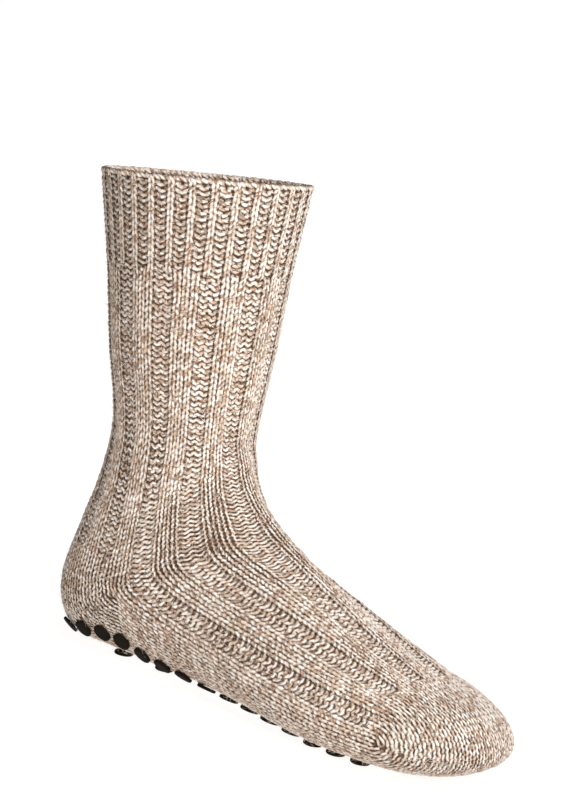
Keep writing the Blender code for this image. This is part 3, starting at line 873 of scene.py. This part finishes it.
def painted_gap_shade_layer():
    """A thin closed layer in the middle of the knit, whose dark colour is painted shade seen through
    its gaps.
    """
    outer, inner, faces = [], [], []
    s = np.arange(STITCHES)

    def offset(place, c, ss, plain):
        c = np.full(len(ss), float(c))
        point = place(c, ss)
        normal = slopes(place, c, ss)[2]
        depth = 0.0 * c if plain else relief(c, ss)
        return (point - normal * (BACKING_NEAR + depth)[:, None],
                point - normal * (BACKING_FAR + depth)[:, None])

    rows = {}

    def ring(key, place, c, ss, plain=False):
        a, b = offset(place, c, ss, plain)
        start = len(outer)
        outer.extend(a)
        inner.extend(b)
        rows[key] = start + np.arange(len(ss))

    def skin(upper, lower, wrap):
        n = len(upper)
        for i in range(n if wrap else n - 1):
            k = (i + 1) % n
            quad = []
            for index in (upper[i], lower[i], lower[k], upper[k]):
                if index not in quad:
                    quad.append(index)
            if len(quad) > 2:
                faces.append(quad)

    leg_courses = np.r_[0.1, np.arange(1.0, HEEL_START + 0.1, 1.0)]
    for c in leg_courses:
        ring(("leg", c), rounds, c, s)
    for a, b in zip(leg_courses, leg_courses[1:]):
        skin(rows[("leg", a)], rows[("leg", b)], True)
    last = rows[("leg", leg_courses[-1])]
    back = np.arange(SIDE, OTHER_SIDE + 1)
    fan = last[back]
    for k in range(1, FAN_STEPS + 1):
        share = k / FAN_STEPS
        inside = back[1:-1].astype(float)

        def heel(c, ss, share=share):
            turn = np.pi - 2 * np.pi * ss / STITCHES
            return heel_fan(share + (c - HEEL_START) / HEEL_COURSES, turn)

        ring(("heel", k), heel, HEEL_START, inside, True)
        new = np.r_[last[SIDE], rows[("heel", k)], last[OTHER_SIDE]]
        skin(fan, new, False)
        fan = new
    previous = last.copy()
    previous[back] = fan
    foot_courses = np.arange(HEEL_START + 1.0, TOE_START + 0.1, 1.0)
    for c in foot_courses:
        ring(("foot", c), rounds, c, s)
        skin(previous, rows[("foot", c)], True)
        previous = rows[("foot", c)]
    over = np.r_[np.arange(OTHER_SIDE, STITCHES), np.arange(0, SIDE + 1)]
    under = (STITCHES // 2 - np.arange(-SIDE, SIDE + 1)) % STITCHES
    fan = previous[over]
    for k in range(1, FAN_STEPS):
        share = k / FAN_STEPS
        inside = np.arange(1.0 - SIDE, float(SIDE))

        def toe(c, ss, share=share):
            return toe_fan(share + (c - TOE_START) / TOE_COURSES, 2 * np.pi * ss / STITCHES)

        ring(("toe", k), toe, TOE_START, inside, True)
        new = np.r_[previous[OTHER_SIDE], rows[("toe", k)], previous[SIDE]]
        skin(fan, new, False)
        fan = new
    skin(fan, previous[under], False)
    count = len(outer)
    rim = rows[("leg", leg_courses[0])]
    every = [f[::-1] for f in faces] + [[i + count for i in f] for f in faces]
    for i in range(STITCHES):
        k = (i + 1) % STITCHES
        every.append([rim[i], rim[k], rim[k] + count, rim[i] + count])
    mesh = bpy.data.meshes.new("knit_gap_shade_sheet")
    mesh.from_pydata(np.array(outer + inner), [], [[int(i) for i in f] for f in every])
    mesh.shade_smooth()
    mesh.materials.append(gap_shade_material())
    own(add_object("knit_gap_shade_sheet", mesh))


painted_gap_shade_layer()
fuzz(FUZZ_FIBRES)


# Grip dots: soft-edged beads of rubber on the knit, each where its solid is
DOT_PROFILE = (
    (0.0, 0.0), (0.55, 0.0), (0.80, 0.00004), (0.93, 0.00018), (1.0, 0.00050),
    (1.0, 0.00095), (0.985, 0.0016))
DOT_SEGMENTS = 28
# How far a dot is from round: size and number of waves
DOT_WAVES = ((0.012, 2), (0.010, 5))


def grip_dot(name, material):
    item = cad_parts[name]
    corners = np.array([item.matrix_world @ v.co for v in item.data.vertices])
    middle = corners.mean(axis=0)
    _, _, axes = np.linalg.svd(corners - middle, full_matrices=False)
    up = axes[2] * np.sign(axes[2][2])
    level = (corners - middle) @ up
    foot = middle + up * level.min()
    radius = np.linalg.norm(corners - middle - np.outer(level, up), axis=1).max()
    ahead = np.cross(up, [0.0, 1.0, 0.0])
    ahead /= np.linalg.norm(ahead)
    across = np.cross(up, ahead)
    angle = 2 * np.pi * np.arange(DOT_SEGMENTS) / DOT_SEGMENTS
    wave = 1.0
    for size, waves in DOT_WAVES:
        wave = wave + size * np.sin(waves * angle + rng.uniform(0, 6))
    points = [foot]
    for reach, height in DOT_PROFILE[1:]:
        ring = np.outer(np.cos(angle) * wave, ahead) + np.outer(np.sin(angle) * wave, across)
        ring = ring * reach * radius
        points.extend(foot + ring + up * height)
    points.append(foot + up * DOT_PROFILE[-1][1])
    faces = []
    for k in range(DOT_SEGMENTS):
        j = (k + 1) % DOT_SEGMENTS
        faces.append([0, 1 + j, 1 + k])
        for level_index in range(len(DOT_PROFILE) - 2):
            a = 1 + level_index * DOT_SEGMENTS
            b = a + DOT_SEGMENTS
            faces.append([a + k, a + j, b + j, b + k])
        top = 1 + (len(DOT_PROFILE) - 2) * DOT_SEGMENTS
        faces.append([top + k, top + j, len(points) - 1])
    mesh = bpy.data.meshes.new("rubber_" + name)
    mesh.from_pydata(np.array(points), [], faces)
    mesh.shade_smooth()
    mesh.set_sharp_from_angle(angle=math.radians(60.0))
    mesh.materials.append(material)
    made = own(add_object("rubber_" + name, mesh))
    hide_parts(name)


rubber = rubber_material()
for dot in DOT_NAMES:
    grip_dot(dot, rubber)


# Floor, light and camera
CAMERA_AZIMUTH = math.radians(35.0)
CAMERA_ELEVATION = math.radians(10.0)
CAMERA_ROLL = math.radians(11.2)
CAMERA_DISTANCE = 1.35
FRAME_HEIGHT = 0.3874
TARGET = (-0.0102, -0.0064, 0.1504)


def camera_axis():
    return Vector((math.sin(CAMERA_AZIMUTH) * math.cos(CAMERA_ELEVATION),
                   -math.cos(CAMERA_AZIMUTH) * math.cos(CAMERA_ELEVATION),
                   math.sin(CAMERA_ELEVATION)))


def camera():
    data = bpy.data.cameras.new("camera")
    data.sensor_width = 36.0
    data.lens = data.sensor_width * CAMERA_DISTANCE / FRAME_HEIGHT
    data.clip_start = 0.05
    data.clip_end = 60.0
    item = add_object("camera", data)
    away = camera_axis()
    aim = (-away).to_track_quat("-Z", "Y").to_matrix().to_4x4()
    item.matrix_world = (Matrix.Translation(Vector(TARGET) + away * CAMERA_DISTANCE) @ aim
                         @ Matrix.Rotation(CAMERA_ROLL, 4, "Z"))
    bpy.context.scene.camera = item


# The sheet's painted glow, full where the camera looks and weaker to the left of it
SHEET_HALF = 14.0
SHEET_FLARE = 0.16
SHEET_DIMS = (-0.60, -0.25)
SHEET_LIGHT = (0.30, 0.94)


def floor_sheet():
    """A grey sheet that looks white by its painted glow, so that only the sock's own shadow shows on
    it.
    """
    mesh = bpy.data.meshes.new("floor")
    corners = [(-1, -1), (1, -1), (1, 1), (-1, 1)]
    mesh.from_pydata([(x * SHEET_HALF, y * SHEET_HALF, 0) for x, y in corners], [], [(0, 1, 2, 3)])
    made, tree, shader = new_material("floor_sheet", {
        "Base Color": (0.20, 0.20, 0.20, 1.0),
        "Roughness": 1.0,
        "Emission Color": (1.0, 0.99, 0.975, 1.0),
    })
    place = node(tree, "ShaderNodeTexCoord")
    apart = node(tree, "ShaderNodeSeparateXYZ")
    tree.links.new(place.outputs["Object"], apart.inputs[0])
    east, north = apart.outputs["X"], apart.outputs["Y"]
    sin, cos = math.sin(CAMERA_AZIMUTH), math.cos(CAMERA_AZIMUTH)
    right = maths(tree, "ADD", maths(tree, "MULTIPLY", east, cos),
                  maths(tree, "MULTIPLY", north, sin))
    behind = maths(tree, "SUBTRACT", maths(tree, "MULTIPLY", north, cos),
                   maths(tree, "MULTIPLY", east, sin))
    widened = maths(tree, "MULTIPLY", maths(tree, "MAXIMUM", behind, 0.0), SHEET_FLARE)
    strength = spread(tree, maths(tree, "ADD", right, widened), *SHEET_DIMS, *SHEET_LIGHT)
    tree.links.new(strength, shader.inputs["Emission Strength"])
    mesh.materials.append(made)
    floor = add_object("floor", mesh)


# The room's light, weak at the left of the picture, and its warm tint there
ROOM_LIGHT = (0.03, 0.80)
ROOM_LIGHT_SIDES = (-0.4, 0.8)
ROOM_TINT = (1.0, 0.86, 0.72)
ROOM_TINT_SIDES = (-0.6, -0.15)
# The white wall behind the sock: where it starts, and how bright it is
WALL_EDGE = (0.90, 0.97)
WALL_LIGHT = 1.05


def toward(tree, coords, axis):
    """How far the world's direction points along an axis."""
    made = node(tree, "ShaderNodeVectorMath", operation="DOT_PRODUCT")
    made.inputs[1].default_value = axis
    tree.links.new(coords.outputs["Generated"], made.inputs[0])
    return made.outputs["Value"]


def room():
    """Grey room light, with a white wall behind the sock as the photo sees it."""
    world = bpy.data.worlds.new("studio")
    world.use_nodes = True
    tree = world.node_tree
    shade = tree.nodes["Background"]
    coords = node(tree, "ShaderNodeTexCoord")
    ahead = toward(tree, coords, -camera_axis())
    sideways = toward(tree, coords, (math.cos(CAMERA_AZIMUTH), math.sin(CAMERA_AZIMUTH), 0.0))
    tone = spread(tree, ahead, *WALL_EDGE, 0.0, WALL_LIGHT)
    dim = spread(tree, sideways, *ROOM_LIGHT_SIDES, *ROOM_LIGHT)
    tree.links.new(dim, tone.node.inputs["To Min"])
    tree.links.new(tone, shade.inputs["Strength"])
    tint = mixed(tree, ROOM_TINT, WHITE, spread(tree, sideways, *ROOM_TINT_SIDES, 0.0, 1.0))
    tree.links.new(tint, shade.inputs["Color"])
    bpy.context.scene.world = world


LIGHTS = (
    {"name": "key", "place": (1.20, -0.55, 1.52), "target": (0.0, 0.0, 0.1),
     "size": 0.6, "watts": 36.0, "colour": (0.90, 0.945, 1.0)},
    {"name": "top", "place": (0.60, -0.70, 1.00), "target": (0.05, 0.0, 0.05),
     "size": 0.4, "watts": 7.0, "colour": (1.0, 0.98, 0.95)},
    {"name": "front", "place": (1.0, -1.33, 0.14), "target": (0.0, 0.0, 0.06),
     "size": 0.5, "watts": 17.0, "colour": (1.0, 0.97, 0.94)},
)


def area_light(row):
    data = bpy.data.lights.new(row["name"], "AREA")
    data.shape = "DISK"
    data.size = row["size"]
    data.energy = row["watts"]
    data.color = row["colour"]
    lamp = add_object(row["name"], data)
    lamp.location = row["place"]
    aim = Vector(row["target"]) - Vector(row["place"])
    lamp.rotation_euler = aim.to_track_quat("-Z", "Y").to_euler()


floor_sheet()
room()
for light in LIGHTS:
    area_light(light)
camera()
bpy.context.scene.view_settings.view_transform = "Standard"
